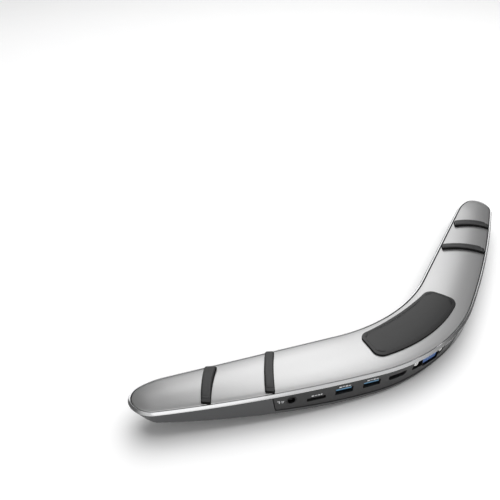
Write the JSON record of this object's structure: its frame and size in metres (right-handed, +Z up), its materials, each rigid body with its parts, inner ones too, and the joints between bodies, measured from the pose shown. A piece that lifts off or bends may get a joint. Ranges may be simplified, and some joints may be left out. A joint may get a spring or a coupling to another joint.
{
  "type": "laptop docking station",
  "caption": "Crescent-shaped docking bar: rubber pads on its arms carry a laptop's back edge, and video, USB and power ports look out of its convex front.",
  "frame": {"origin": "on the desk plane, under the middle of the bounding box", "axes": "+X from one tip to the other, with the ports facing -Y and the concave side towards +Y; +Z up from the desk"},
  "size_m": [0.4, 0.1072, 0.0302],
  "materials": {
    "silver_paint": "satin silver paint",
    "polished_trim": "polished bevel",
    "gunmetal_plastic": "dark metallic grey",
    "panel_plastic": "fine matt black",
    "badge_plastic": "charcoal",
    "pad_rubber": "matt dark grey",
    "foot_rubber": "matt black",
    "port_steel": "nickel-plated sheet",
    "blue_insulator": "blue",
    "black_insulator": "black",
    "circuit_board": "green solder mask",
    "chip_epoxy": "black epoxy",
    "capacitor_can": "bare can",
    "screw_steel": "plated"
  },
  "bodies": {
    "root": {"board_screw_1": "screw_steel", "board_screw_2": "screw_steel", "board_screw_3": "screw_steel", "board_screw_4": "screw_steel", "bottom_case": "gunmetal_plastic", "case_screw_1": "screw_steel", "case_screw_2": "screw_steel", "case_screw_3": "screw_steel", "case_screw_4": "screw_steel", "case_screw_5": "screw_steel", "case_screw_6": "screw_steel", "center_badge": "badge_plastic", "clock_crystal": "chip_epoxy", "dc_jack_housing": "black_insulator", "dc_jack_pin": "port_steel", "display_chip": "chip_epoxy", "filter_capacitor": "capacitor_can", "hdmi_shell": "port_steel", "hdmi_tongue": "black_insulator", "main_board": "circuit_board", "memory_chip": "chip_epoxy", "micro_b_shell": "port_steel", "micro_b_tongue": "black_insulator", "port_panel": "panel_plastic", "power_inductor": "chip_epoxy", "rest_pad_left_inner": "pad_rubber", "rest_pad_left_outer": "pad_rubber", "rest_pad_right_inner": "pad_rubber", "rest_pad_right_outer": "pad_rubber", "rim_trim": "polished_trim", "rubber_foot_1": "foot_rubber", "rubber_foot_2": "foot_rubber", "rubber_foot_3": "foot_rubber", "rubber_foot_4": "foot_rubber", "top_cover": "silver_paint", "usb_a_shell_1": "port_steel", "usb_a_shell_2": "port_steel", "usb_a_tongue_1": "blue_insulator", "usb_a_tongue_2": "blue_insulator", "usb_hub_chip": "chip_epoxy", "vga_insulator": "blue_insulator", "vga_jackscrew_left": "screw_steel", "vga_jackscrew_right": "screw_steel", "vga_shell": "port_steel"}
  },
  "joints": []
}
